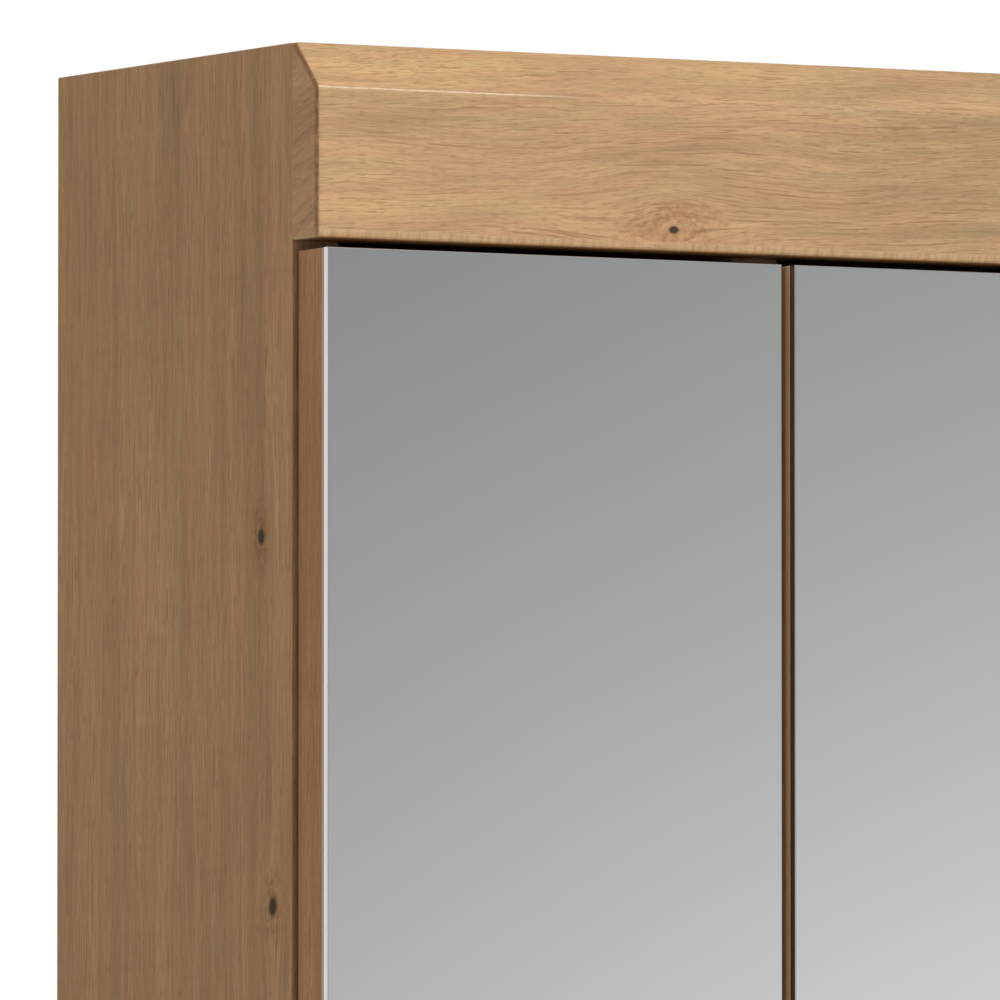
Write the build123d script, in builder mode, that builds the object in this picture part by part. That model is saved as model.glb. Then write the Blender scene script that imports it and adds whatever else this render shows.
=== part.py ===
"""Three-door mirror cabinet: an oak-decor board carcass with a chamfered cornice, glass shelves,
and three frameless mirror doors on four-bar concealed hinges.

Frame: millimetres, +Z up, X across the width, the doors face -Y and the wall is at +Y.
The origin is the centre of the cabinet's footprint, on the plane that its side panels stand on.
"""
import os

from build123d import *

# ---------------------------------------------------------------- driving dimensions
board = 16.0            # thickness of every oak-decor board
width = 650.0
height = 730.0
carcass_depth = 152.0
door_gap_behind = 2.0   # air between the carcass front and the back of a closed door
mirror_thickness = 3.0
mirror_bevel = 0.3
cornice_height = 59.9
cornice_chamfer = 14.0
cornice_arris_radius = 4.0      # where the slope meets the face
cornice_foot_radius = 2.0
cornice_end_radius = 1.2
cornice_door_gap = 3.1  # air between the cornice and the tops of the doors
board_edge_radius = 0.5
door_inset = 1.0        # a closed side door stops this far inside the cabinet's outer face
door_foot_gap = 2.0     # air under the doors when the cabinet stands on a surface
door_pitch_gap = 4.5    # air between two neighbouring doors
side_door_width = 157.0
bottom_raise = 12.0     # the bottom panel sits this far above the ends of the side panels
back_thickness = 3.0
back_setback = 16.1     # from the rear edges of the side panels to the back panel
groove_depth = 6.0
groove_play = 0.2       # between the back panel and its groove
fit_play = 0.05         # between a pin or screw and its hole
rail_height = 60.0
wall_hole_spacing = 530.0
wall_hole_radius = 3.0
glass_thickness = 5.0
glass_bevel = 0.5
glass_corner_radius = 2.0
shelf_depth = 116.0
shelf_side_gap = 1.0
shelf_heights = (236.0, 460.0)          # undersides of the glass shelves
support_hole_radius = 2.5
support_hole_depth = 7.0
support_setbacks = (22.0, 104.0)        # from the carcass front to the rows of support holes
support_row_pitch = 32.0
hinge_heights = (101.0, 566.0)

# Hinge, in its own plan: the origin is the door's hinge-side edge on its back face,
# X runs into the door, -Y towards the front, and Z is measured from the hinge's middle.
cup_centre = 22.5
cup_radius = 17.5
cup_wall = 1.2
cup_depth = 12.8
cup_floor = 0.8
flange_thickness = 1.0
arm_pivot_outer = (33.0, 14.0)
door_pivot_outer = (10.0, -7.0)
arm_pivot_inner = (32.5, -5.5)
door_pivot_inner = (13.5, -8.0)
inner_eye = (14.05, -8.51)              # centre of the inner link's oversize eye
pin_radius = 1.2
slim_pin_radius = 0.9
inner_eye_play = 0.9
inner_eye_rim = 0.8
link_thickness = 2.4
eye_radius = 2.2
link_low = 0.4                          # a link lies between these distances from the middle
link_high = 5.0
cheek_low = 5.3                         # and the arm's cheeks and the cup's lugs outside it
cheek_high = 6.8
panel_cover_full = board - door_inset   # the panel's inner face, for a door that covers its edge
panel_cover_half = (board - door_pitch_gap) / 2
plate_screw_setback = 37.0
plate_screw_half_spacing = 16.0

# ---------------------------------------------------------------- derived places
back_y = (carcass_depth + door_gap_behind + board + mirror_thickness) / 2
front_y = back_y - carcass_depth
door_back_y = front_y - door_gap_behind
door_front_y = door_back_y - board
mirror_front_y = door_front_y - mirror_thickness
inside_x = width / 2 - board
cornice_low = height - cornice_height
door_low = door_foot_gap
door_high = cornice_low - cornice_door_gap
door_height = door_high - door_low
side_door_edge = width / 2 - door_inset
centre_door_edge = side_door_edge - side_door_width - door_pitch_gap
divider_x = centre_door_edge + door_pitch_gap / 2
bottom_top = bottom_raise + board
top_underside = height - board
back_front_y = back_y - back_setback - back_thickness
rail_low = top_underside - rail_height
shelf_front_y = front_y + 10.0
link_width = link_high - link_low

os.makedirs("parts", exist_ok=True)


def save(part, name):
    """Labels a finished piece and writes it as its own file."""
    part.label = name
    export_step(part, "parts/" + name + ".step")


def plate_at(x_low, x_high, y_low, y_high, z_low, z_high):
    """A plain rectangular board between two corners, in the open builder."""
    with Locations(((x_low + x_high) / 2, (y_low + y_high) / 2, (z_low + z_high) / 2)):
        Box(x_high - x_low, y_high - y_low, z_high - z_low)


def cross_recess(length, slot_width):
    """The outline of a screwdriver's cross recess, in the open sketch."""
    Rectangle(length, slot_width)
    Rectangle(slot_width, length)


def side_plane(x, direction):
    """A plane across X at x, looking along +X or -X, whose first axis is global Y."""
    return Plane(origin=(x, 0, 0), x_dir=(0, 1, 0), z_dir=(direction, 0, 0))


def side_point(y, z, direction):
    """Where a point at global (y, z) lies on a side_plane of that direction."""
    return (y, z * direction)


# ---------------------------------------------------------------- fixings, places used twice
support_ys = [front_y + setback for setback in support_setbacks]
support_zs = [
    shelf + support_row_pitch * step - support_hole_radius
    for shelf in shelf_heights
    for step in (-2, -1, 0, 1, 2)
]
cam_ys = (front_y + 40.0, back_y - 40.0)
dowel_y = (cam_ys[0] + cam_ys[1]) / 2
cam_reach = 24.0        # from the joint to the cam's centre
cam_radius = 7.5
cam_depth = 12.0
cam_mouth_overrun = 3.0     # how far the side mouth runs past the cam's centre
cam_slot_size = 7.0         # length and width of the cross recess in a cam
cam_slot_width = 1.4
cam_slot_depth = 2.0
cam_play = 0.1              # round a cam in its pocket
cam_bolt_radius = 3.0
cam_bolt_neck_radius = 2.0
cam_bolt_head_length = 2.5
cam_bolt_bore_play = 0.5
cam_bolt_bite = 10.0
cam_bolt_end_gap = 0.2
dowel_radius = 4.0
dowel_length = 30.0
dowel_bite = 11.0
dowel_end_gap = 0.5
dowel_chamfer = 0.8
joint_zs = (bottom_raise + board / 2, height - board / 2)
screw_ys = (front_y + 35.0, back_front_y - 25.0)
screw_shank_radius = 3.5
screw_core_radius = 2.4
screw_head_radius = 5.0
screw_head_height = 3.0
screw_head_play = 0.1
screw_hex_radius = 2.3
screw_hex_depth = 2.2
screw_bite = 34.0
screw_end_gap = 1.0
bracket_xs = (-250.0, -80.0, 80.0, 250.0)
bracket_width = 24.0
bracket_leg = 28.0
bracket_thickness = 2.0
bracket_bend_radius = 1.5
bracket_hole_play = 0.2
bracket_screw_radius = 2.0
bracket_screw_head_radius = 3.8
bracket_screw_head_height = 1.8
bracket_recess_length = 4.6
bracket_recess_depth = 1.2
bracket_screw_reach = 18.0
bracket_screw_bite = 11.0
plate_screw_y = front_y + plate_screw_setback
plate_screw_zs = [z + side for z in hinge_heights
                  for side in (-plate_screw_half_spacing, plate_screw_half_spacing)]
plate_screw_radius = 2.5
plate_screw_length = 11.0
plate_screw_end_gap = 0.5
plate_screw_head_radius = 4.2
plate_screw_head_height = 2.0
plate_recess_length = 5.0
recess_width = 0.9          # of the cross recess in every small screw
recess_depth = 1.0


def drill_support_rows(x, direction):
    """Two rows of blind shelf-support holes into a board whose face is at x."""
    with BuildSketch(side_plane(x, direction)) as rows:
        for z in support_zs:
            with Locations([side_point(y, z, direction) for y in support_ys]):
                Circle(support_hole_radius)
    extrude(rows.sketch, amount=support_hole_depth, mode=Mode.SUBTRACT)


def drill_plate_holes(x, direction):
    """Blind holes for the hinge plates' screws into a board whose face is at x."""
    with BuildSketch(side_plane(x, direction)) as holes:
        with Locations([side_point(plate_screw_y, z, direction) for z in plate_screw_zs]):
            Circle(plate_screw_radius)
    extrude(holes.sketch, amount=plate_screw_length, mode=Mode.SUBTRACT)


# ---------------------------------------------------------------- carcass boards
with BuildPart() as side_panel_left:
    plate_at(-width / 2, -inside_x, front_y, back_y, 0, height)
    fillet(side_panel_left.edges(), radius=board_edge_radius)
    # groove that holds the back panel
    plate_groove = Plane.XY.offset(bottom_top - groove_depth)
    with BuildSketch(plate_groove):
        with Locations((-inside_x - groove_depth / 2, back_front_y + back_thickness / 2)):
            Rectangle(groove_depth, back_thickness + groove_play)
    extrude(amount=top_underside - bottom_top + 2 * groove_depth, mode=Mode.SUBTRACT)
    drill_support_rows(-inside_x, -1)
    drill_plate_holes(-inside_x, -1)
    # holes for the cam bolts and dowels of the top and bottom panels
    with BuildSketch(side_plane(-inside_x, -1)):
        for z in joint_zs:
            with Locations([side_point(y, z, -1) for y in cam_ys]):
                Circle(cam_bolt_radius)
    extrude(amount=cam_bolt_bite, mode=Mode.SUBTRACT)
    with BuildSketch(side_plane(-inside_x, -1)):
        with Locations([side_point(dowel_y, z, -1) for z in joint_zs]):
            Circle(dowel_radius)
    extrude(amount=dowel_bite, mode=Mode.SUBTRACT)
save(side_panel_left.part, "side_panel_left")

with BuildPart() as side_panel_right:
    add(side_panel_left.part.mirror(Plane.YZ))
save(side_panel_right.part, "side_panel_right")


def cross_panel(z_low, groove_z, cam_face_z, cam_direction):
    """The top or bottom panel, with its groove, cam pockets, bolt bores and screw holes."""
    middle_z = z_low + board / 2
    with BuildPart() as panel:
        plate_at(-inside_x, inside_x, front_y, back_y, z_low, z_low + board)
        fillet(panel.edges().filter_by(Axis.X).group_by(Axis.Y)[0], radius=board_edge_radius)
        with BuildSketch(Plane.XY.offset(groove_z)):
            with Locations((0, back_front_y + back_thickness / 2)):
                Rectangle(2 * inside_x, back_thickness + groove_play)
        extrude(amount=groove_depth, mode=Mode.SUBTRACT)
        cam_plane = Plane(origin=(0, 0, cam_face_z), x_dir=(1, 0, 0), z_dir=(0, 0, cam_direction))
        with BuildSketch(cam_plane):
            for side in (-1, 1):
                for y in cam_ys:
                    with Locations((side * (inside_x - cam_reach), y * cam_direction)):
                        Circle(cam_radius)
        extrude(amount=cam_depth, mode=Mode.SUBTRACT)
        for side in (-1, 1):
            with BuildSketch(side_plane(side * inside_x, -side)):
                with Locations([side_point(y, middle_z, -side) for y in cam_ys]):
                    Circle(cam_bolt_radius + cam_bolt_bore_play)
            extrude(amount=cam_reach, mode=Mode.SUBTRACT)
            with BuildSketch(side_plane(side * inside_x, -side)):
                with Locations(side_point(dowel_y, middle_z, -side)):
                    Circle(dowel_radius)
            extrude(amount=dowel_length - dowel_bite, mode=Mode.SUBTRACT)
        screw_places = [(side * divider_x, y * cam_direction) for side in (-1, 1) for y in screw_ys]
        with BuildSketch(cam_plane):
            with Locations(screw_places):
                Circle(screw_shank_radius)
        extrude(amount=board, mode=Mode.SUBTRACT)
        with BuildSketch(cam_plane):
            with Locations(screw_places):
                Circle(screw_head_radius + screw_head_play)
        extrude(amount=screw_head_height, mode=Mode.SUBTRACT)
        if cam_direction < 0:
            with BuildSketch(Plane.XY.offset(z_low)):
                with Locations([(x, front_y + bracket_screw_reach) for x in bracket_xs]):
                    Circle(bracket_screw_radius)
            extrude(amount=bracket_screw_bite, mode=Mode.SUBTRACT)
    return panel.part


top_panel = cross_panel(top_underside, top_underside, height, -1)
bottom_panel = cross_panel(bottom_raise, bottom_top - groove_depth, bottom_raise, 1)
save(top_panel, "top_panel")
save(bottom_panel, "bottom_panel")


def divider(centre_x, hinge_side):
    """An upright between two compartments. hinge_side is 1 if its right face carries hinge plates, else 0."""
    with BuildPart() as upright:
        plate_at(centre_x - board / 2, centre_x + board / 2,
                 front_y, back_front_y - groove_play, bottom_top, top_underside)
        fillet(upright.edges().filter_by(Axis.Z).group_by(Axis.Y)[0], radius=board_edge_radius)
        drill_support_rows(centre_x - board / 2, 1)
        drill_support_rows(centre_x + board / 2, -1)
        if hinge_side:
            drill_plate_holes(centre_x + board / 2, -1)
        for face_z, direction in ((bottom_top, 1), (top_underside, -1)):
            bore_plane = Plane(origin=(0, 0, face_z), x_dir=(1, 0, 0), z_dir=(0, 0, direction))
            with BuildSketch(bore_plane):
                with Locations([(centre_x, y * direction) for y in screw_ys]):
                    Circle(screw_core_radius)
            extrude(amount=screw_bite, mode=Mode.SUBTRACT)
    return upright.part


save(divider(-divider_x, 1), "divider_left")
save(divider(divider_x, 0), "divider_right")

wall_hole_z = rail_low + rail_height / 2
wall_holes = [(-wall_hole_spacing / 2, wall_hole_z), (wall_hole_spacing / 2, wall_hole_z)]

with BuildPart() as back_panel:
    reach = groove_depth - 2 * groove_play
    plate_at(-inside_x - reach, inside_x + reach, back_front_y, back_front_y + back_thickness,
             bottom_top - reach, top_underside + reach)
    with BuildSketch(Plane.XZ.offset(-back_y)):
        with Locations(wall_holes):
            Circle(wall_hole_radius)
    extrude(amount=back_y - back_front_y, mode=Mode.SUBTRACT)
save(back_panel.part, "back_panel")

with BuildPart() as hanging_rail:
    plate_at(-inside_x, inside_x, back_y - board, back_y, rail_low, top_underside)
    with BuildSketch(Plane.XZ.offset(-back_y)):
        with Locations(wall_holes):
            Circle(wall_hole_radius)
    extrude(amount=board, mode=Mode.SUBTRACT)
save(hanging_rail.part, "hanging_rail")

# The cornice's section, drawn looking along +X: its face points to -Y.
with BuildPart() as cornice_board:
    with BuildSketch(Plane(origin=(-width / 2, 0, 0), x_dir=(0, 1, 0), z_dir=(1, 0, 0))):
        with BuildLine():
            Polyline(
                (front_y, cornice_low),
                (front_y, height),
                (front_y - board + cornice_chamfer, height),
                (front_y - board, height - cornice_chamfer),
                (front_y - board, cornice_low),
                close=True,
            )
        make_face()
    extrude(amount=width)
    face_edges = cornice_board.edges().filter_by(Axis.X).group_by(Axis.Y)[0].sort_by(Axis.Z)
    fillet(face_edges[-1], radius=cornice_arris_radius)
    fillet(face_edges[0], radius=cornice_foot_radius)
    end_edges = [edge for edge in cornice_board.edges()
                 if abs(edge.center().X) > width / 2 - 0.01 and edge.center().Y < front_y - 0.01]
    fillet(end_edges, radius=cornice_end_radius)
    with BuildSketch(Plane.XZ.offset(-front_y)):
        with Locations([(x, top_underside - bracket_screw_reach) for x in bracket_xs]):
            Circle(bracket_screw_radius)
    extrude(amount=bracket_screw_bite, mode=Mode.SUBTRACT)
save(cornice_board.part, "cornice_board")

# ---------------------------------------------------------------- carcass fixings
with BuildPart() as cam_locks:
    for face_z, direction in ((height, -1), (bottom_raise, 1)):
        lock_plane = Plane(origin=(0, 0, face_z), x_dir=(1, 0, 0), z_dir=(0, 0, direction))
        lock_centres = [(side * (inside_x - cam_reach), y * direction)
                        for side in (-1, 1) for y in cam_ys]
        with BuildSketch(lock_plane):
            with Locations(lock_centres):
                Circle(cam_radius - cam_play)
        extrude(amount=cam_depth - 2 * cam_play)
        # cross recess for the screwdriver
        with BuildSketch(lock_plane):
            with Locations(lock_centres):
                cross_recess(cam_slot_size, cam_slot_width)
        extrude(amount=cam_slot_depth, mode=Mode.SUBTRACT)
    # the side mouth that takes the bolt's head
    for side in (-1, 1):
        with BuildSketch(side_plane(side * (inside_x - cam_reach + cam_radius), -side)):
            for z in joint_zs:
                with Locations([side_point(y, z, -side) for y in cam_ys]):
                    Circle(cam_bolt_radius + cam_bolt_bore_play)
        extrude(amount=cam_radius + cam_mouth_overrun, mode=Mode.SUBTRACT)
save(cam_locks.part, "cam_locks")

bolt_bite = cam_bolt_bite - cam_bolt_end_gap
neck_length = cam_reach - cam_mouth_overrun

with BuildPart() as cam_bolts:
    for side in (-1, 1):
        for z in joint_zs:
            for y in cam_ys:
                bolt_plane = Plane(origin=(side * (inside_x + bolt_bite), y, z),
                                   x_dir=(0, 1, 0), z_dir=(-side, 0, 0))
                with BuildSketch(bolt_plane):
                    Circle(cam_bolt_radius - fit_play)
                extrude(amount=bolt_bite)
                with BuildSketch(bolt_plane.offset(bolt_bite)):
                    Circle(cam_bolt_neck_radius)
                extrude(amount=neck_length)
                with BuildSketch(bolt_plane.offset(bolt_bite + neck_length)):
                    Circle(cam_bolt_radius)
                extrude(amount=cam_bolt_head_length)
save(cam_bolts.part, "cam_bolts")

with BuildPart() as wood_dowels:
    for side in (-1, 1):
        for z in joint_zs:
            dowel_plane = Plane(origin=(side * (inside_x + dowel_bite - dowel_end_gap), dowel_y, z),
                                x_dir=(0, 1, 0), z_dir=(-side, 0, 0))
            with BuildSketch(dowel_plane):
                Circle(dowel_radius - fit_play)
            extrude(amount=dowel_length - 2 * dowel_end_gap)
    chamfer(wood_dowels.edges().filter_by(GeomType.CIRCLE), length=dowel_chamfer)
save(wood_dowels.part, "wood_dowels")


def carcass_screw(start, direction):
    """A long furniture screw: head sunk in the panel, shank through it, core in the divider."""
    screw_plane = Plane(origin=start, x_dir=(1, 0, 0), z_dir=(0, 0, direction))
    with BuildPart() as screw:
        with BuildSketch(screw_plane):
            Circle(screw_head_radius)
        extrude(amount=screw_head_height)
        with BuildSketch(screw_plane):
            RegularPolygon(radius=screw_hex_radius, side_count=6)
        extrude(amount=screw_hex_depth, mode=Mode.SUBTRACT)
        with BuildSketch(screw_plane.offset(screw_head_height)):
            Circle(screw_shank_radius - fit_play)
        extrude(amount=board - screw_head_height)
        with BuildSketch(screw_plane.offset(board)):
            Circle(screw_core_radius - fit_play)
        extrude(amount=screw_bite - screw_end_gap)
    return screw.part


with BuildPart() as divider_screws:
    for side in (-1, 1):
        for y in screw_ys:
            add(carcass_screw((side * divider_x, y, bottom_raise), 1))
            add(carcass_screw((side * divider_x, y, height), -1))
save(divider_screws.part, "divider_screws")

# ---------------------------------------------------------------- cornice brackets
with BuildPart() as cornice_brackets:
    for x in bracket_xs:
        plate_at(x - bracket_width / 2, x + bracket_width / 2, front_y, front_y + bracket_thickness,
                 top_underside - bracket_leg, top_underside)
        plate_at(x - bracket_width / 2, x + bracket_width / 2, front_y, front_y + bracket_leg,
                 top_underside - bracket_thickness, top_underside)
    inner_bends = [edge for edge in cornice_brackets.edges().filter_by(Axis.X)
                   if abs(edge.center().Y - front_y - bracket_thickness) < 0.1
                   and abs(edge.center().Z - top_underside + bracket_thickness) < 0.1]
    fillet(inner_bends, radius=bracket_bend_radius)
    with BuildSketch(Plane.XZ.offset(-front_y - bracket_thickness)):
        with Locations([(x, top_underside - bracket_screw_reach) for x in bracket_xs]):
            Circle(bracket_screw_radius + bracket_hole_play)
    extrude(amount=bracket_thickness, mode=Mode.SUBTRACT)
    with BuildSketch(Plane.XY.offset(top_underside - bracket_thickness)):
        with Locations([(x, front_y + bracket_screw_reach) for x in bracket_xs]):
            Circle(bracket_screw_radius + bracket_hole_play)
    extrude(amount=bracket_thickness, mode=Mode.SUBTRACT)
save(cornice_brackets.part, "cornice_brackets")

with BuildPart() as cornice_screws:
    for x in bracket_xs:
        into_cornice = Plane(origin=(x, front_y + bracket_thickness, top_underside - bracket_screw_reach),
                             x_dir=(1, 0, 0), z_dir=(0, -1, 0))
        into_top = Plane(origin=(x, front_y + bracket_screw_reach, top_underside - bracket_thickness),
                         x_dir=(1, 0, 0), z_dir=(0, 0, 1))
        for start in (into_cornice, into_top):
            with BuildSketch(start.offset(-bracket_screw_head_height)):
                Circle(bracket_screw_head_radius)
            extrude(amount=bracket_screw_head_height)
            with BuildSketch(start.offset(-bracket_screw_head_height)):
                cross_recess(bracket_recess_length, recess_width)
            extrude(amount=bracket_recess_depth, mode=Mode.SUBTRACT)
            with BuildSketch(start):
                Circle(bracket_screw_radius)
            extrude(amount=bracket_thickness + bracket_screw_bite)
save(cornice_screws.part, "cornice_screws")

# ---------------------------------------------------------------- glass shelves and their supports
compartments = {
    "left": (-inside_x, -divider_x - board / 2),
    "centre": (-divider_x + board / 2, divider_x - board / 2),
    "right": (divider_x + board / 2, inside_x),
}
shelf_levels = dict(zip(("lower", "upper"), shelf_heights))

for compartment, (x_low, x_high) in compartments.items():
    for level, shelf_z in shelf_levels.items():
        with BuildPart() as glass_shelf:
            plate_at(x_low + shelf_side_gap, x_high - shelf_side_gap,
                     shelf_front_y, shelf_front_y + shelf_depth, shelf_z, shelf_z + glass_thickness)
            fillet(glass_shelf.edges().filter_by(Axis.Z), radius=glass_corner_radius)
            chamfer(glass_shelf.edges().group_by(Axis.Z)[-1], length=glass_bevel)
        save(glass_shelf.part, "glass_shelf_" + compartment + "_" + level)

support_reach = 8.0
support_head_width = 9.0
support_head_height = 2 * support_hole_radius + 1.0
support_corner_radius = 1.0
support_pin_length = support_hole_depth - 0.2
with BuildPart() as shelf_supports:
    for x_low, x_high in compartments.values():
        for wall_x, direction in ((x_low, 1), (x_high, -1)):
            for shelf_z in shelf_heights:
                for y in support_ys:
                    pin_z = shelf_z - support_hole_radius
                    pin_plane = side_plane(wall_x - direction * support_pin_length, direction)
                    with BuildSketch(pin_plane):
                        with Locations(side_point(y, pin_z, direction)):
                            Circle(support_hole_radius - fit_play)
                    extrude(amount=support_pin_length)
                    with BuildSketch(side_plane(wall_x, direction)):
                        with Locations(side_point(y, pin_z - 0.5, direction)):
                            Rectangle(support_head_width, support_head_height)
                    extrude(amount=support_reach)
    lower_corners = [edge for edge in shelf_supports.edges().filter_by(Axis.X)
                     if abs(edge.length - support_reach) < 0.1
                     and min(abs(edge.center().Z - z + support_head_height)
                             for z in shelf_heights) < 0.2]
    fillet(lower_corners, radius=support_corner_radius)
save(shelf_supports.part, "shelf_supports")

# ---------------------------------------------------------------- door bumpers
bumper_radius = 2.4
bumper_thickness = 1.5
bumper_dome_radius = 0.9
bumper_low_setback = 60.0       # from the ends of the doors to the bumpers
bumper_high_setback = 30.0
cover_strip = (divider_x - board / 2 + centre_door_edge) / 2
outer_strip = (divider_x + board / 2 + centre_door_edge + door_pitch_gap) / 2
bumper_places = [(x, z) for x in (-outer_strip, cover_strip, outer_strip)
                 for z in (door_low + bumper_low_setback, door_high - bumper_high_setback)]

with BuildPart() as door_bumpers:
    with BuildSketch(Plane.XZ.offset(-front_y)):
        with Locations(bumper_places):
            Circle(bumper_radius)
    extrude(amount=bumper_thickness)
    fillet(door_bumpers.faces().group_by(Axis.Y)[0].edges(), radius=bumper_dome_radius)
save(door_bumpers.part, "door_bumpers")

# ---------------------------------------------------------------- hinge pieces, in the hinge's plan
cup_plane = Plane(origin=(cup_centre, 0, 0), x_dir=(1, 0, 0), z_dir=(0, -1, 0))
cup_screw_offset = 6.0          # the cup's screws sit this far beyond its centre
cup_screw_half_spacing = 24.0
cup_screw_radius = 1.8
cup_screw_places = [(cup_screw_offset, side * cup_screw_half_spacing) for side in (-1, 1)]
cup_screw_length = 11.0
cup_screw_hole_play = 0.2
cup_screw_head_radius = 3.4
cup_screw_head_height = 1.6
cup_recess_length = 4.2
cup_rim = 1.5                   # the flange stands this far over the cup's bore
cup_mouth = 6.4                 # width of the flange's opening on the hinge side
ear_radius = 7.0


def lug(pivot, hole_radius, z_low):
    """An upright tab from the cup's floor around a pivot, in the open builder."""
    with BuildSketch(Plane.XY.offset(z_low)) as outline:
        with Locations(pivot):
            Circle(eye_radius)
        foot_y = cup_floor / 2 - cup_depth
        with Locations((pivot[0], (pivot[1] + foot_y) / 2)):
            Rectangle(2 * eye_radius, pivot[1] - foot_y)
        with Locations(pivot):
            Circle(hole_radius, mode=Mode.SUBTRACT)
    extrude(outline.sketch, amount=cheek_high - cheek_low)


with BuildPart() as hinge_cup:
    with BuildSketch(cup_plane.offset(-flange_thickness)):
        Circle(cup_radius + cup_rim)
        with Locations((cup_screw_offset, 0)):
            SlotOverall(2 * (cup_screw_half_spacing + ear_radius), 2 * ear_radius, rotation=90)
    extrude(amount=flange_thickness)
    with BuildSketch(cup_plane):
        Circle(cup_radius)
    extrude(amount=cup_depth)
    with BuildSketch(cup_plane.offset(-flange_thickness)):
        Circle(cup_radius - cup_wall)
    extrude(amount=flange_thickness + cup_depth - cup_floor, mode=Mode.SUBTRACT)
    # the flange is open on the hinge side, where the links pass the rim
    with Locations((cup_centre - cup_radius, flange_thickness / 2, 0)):
        Box(cup_mouth, flange_thickness, 2 * cheek_high, mode=Mode.SUBTRACT)
    with BuildSketch(cup_plane.offset(-flange_thickness)):
        with Locations(cup_screw_places):
            Circle(cup_screw_radius + cup_screw_hole_play)
    extrude(amount=flange_thickness, mode=Mode.SUBTRACT)
    lug(door_pivot_outer, pin_radius, cheek_low)
    lug(door_pivot_inner, slim_pin_radius, -cheek_high)


pin_head_height = 0.6
pin_head_rim = 0.8
pin_tip = link_low + 0.1        # a pin ends just inside its link


def stub_pin(pivot, radius, z_inner, z_outer):
    """A short rivet pin with a head outside its cheek, in the open builder."""
    with BuildSketch(Plane.XY.offset(min(z_inner, z_outer))) as shank:
        with Locations(pivot):
            Circle(radius)
    extrude(shank.sketch, amount=abs(z_outer - z_inner))
    head_low = z_outer if z_outer > 0 else z_outer - pin_head_height
    with BuildSketch(Plane.XY.offset(head_low)) as head:
        with Locations(pivot):
            Circle(radius + pin_head_rim)
    extrude(head.sketch, amount=pin_head_height)


with BuildPart() as cup_pin_pair:
    stub_pin(door_pivot_outer, pin_radius, pin_tip, cheek_high)
    stub_pin(door_pivot_inner, slim_pin_radius, -pin_tip, -cheek_high)

with BuildPart() as arm_pin_pair:
    stub_pin(arm_pivot_outer, pin_radius, pin_tip, cheek_high)
    stub_pin(arm_pivot_inner, pin_radius, -pin_tip, -cheek_high)


def link(path, bend_radius, near_eye, far_eye, z_low):
    """A flat bent link: a strip along the path with an eye at each end.

    Each eye is a dict of its centre, its outer radius and its hole's radius.
    """
    with BuildPart() as piece:
        with BuildSketch(Plane.XY.offset(z_low)):
            with BuildLine():
                FilletPolyline(*path, radius=bend_radius)
            trace(line_width=link_thickness)
            for eye in (near_eye, far_eye):
                with Locations(eye["centre"]):
                    Circle(eye["outer"])
            for eye in (near_eye, far_eye):
                with Locations(eye["centre"]):
                    Circle(eye["hole"], mode=Mode.SUBTRACT)
        extrude(amount=link_width)
    return piece.part


running_eye = pin_radius + fit_play
inner_eye_hole = slim_pin_radius + inner_eye_play
outer_link = link(
    path=(door_pivot_outer, (12.2, -9.5), (19.6, -9.5), (23.8, -2.0), arm_pivot_outer),
    bend_radius=1.6,
    near_eye=dict(centre=door_pivot_outer, outer=eye_radius, hole=running_eye),
    far_eye=dict(centre=arm_pivot_outer, outer=eye_radius, hole=running_eye),
    z_low=link_low,
)
inner_link = link(
    path=(inner_eye, (16.4, -9.6), (27.4, -9.6), arm_pivot_inner),
    bend_radius=1.6,
    near_eye=dict(centre=inner_eye, outer=inner_eye_hole + inner_eye_rim, hole=inner_eye_hole),
    far_eye=dict(centre=arm_pivot_inner, outer=eye_radius, hole=running_eye),
    z_low=-link_high,
)

arm_rear = 62.0
arm_nose_radius = 2.4
web = 1.2
plate_thickness = 2.0
wing_overhang = 14.0    # both wings together, beyond the screws
wing_width = 12.0
boss_height = 7.6
boss_play = 0.2         # between the plate's boss and the arm's web
arm_screws = [(57.0, 0), (50.5, 0)]     # the locking screw and the side-adjusting screw
arm_screw_radius = 1.9
arm_screw_head_radius = 2.9
arm_screw_head_height = 1.6
arm_recess_length = 3.6


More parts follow.
